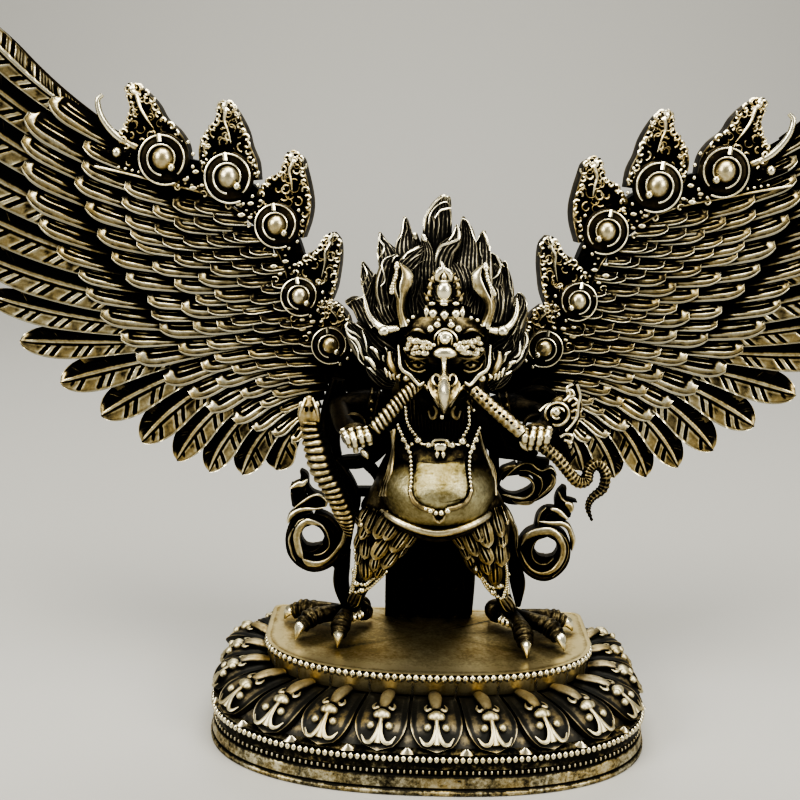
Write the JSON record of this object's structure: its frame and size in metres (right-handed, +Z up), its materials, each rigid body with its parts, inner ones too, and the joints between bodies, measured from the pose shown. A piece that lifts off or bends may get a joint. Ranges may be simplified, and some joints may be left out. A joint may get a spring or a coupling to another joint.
{
  "type": "garuda figure",
  "caption": "Winged garuda biting and gripping a snake, standing astride on a double lotus plinth with raised, feathered wings.",
  "frame": {"origin": "centre of the plinth's flat underside", "axes": "+X to the viewer's right along the wings, +Y to the back, +Z up; the figure faces -Y"},
  "size_m": [0.2807, 0.075, 0.2054],
  "materials": {
    "antique_brass": "silvery brass, polished on the high points, with black-brown patina in the recesses",
    "plinth_brass": "satin golden-brown brass with dark staining, bright beads and black-brown petals"
  },
  "bodies": {
    "root": {"lotus_plinth": "plinth_brass", "garuda_figure": "antique_brass", "left_wing": "antique_brass", "right_wing": "antique_brass"}
  },
  "joints": []
}
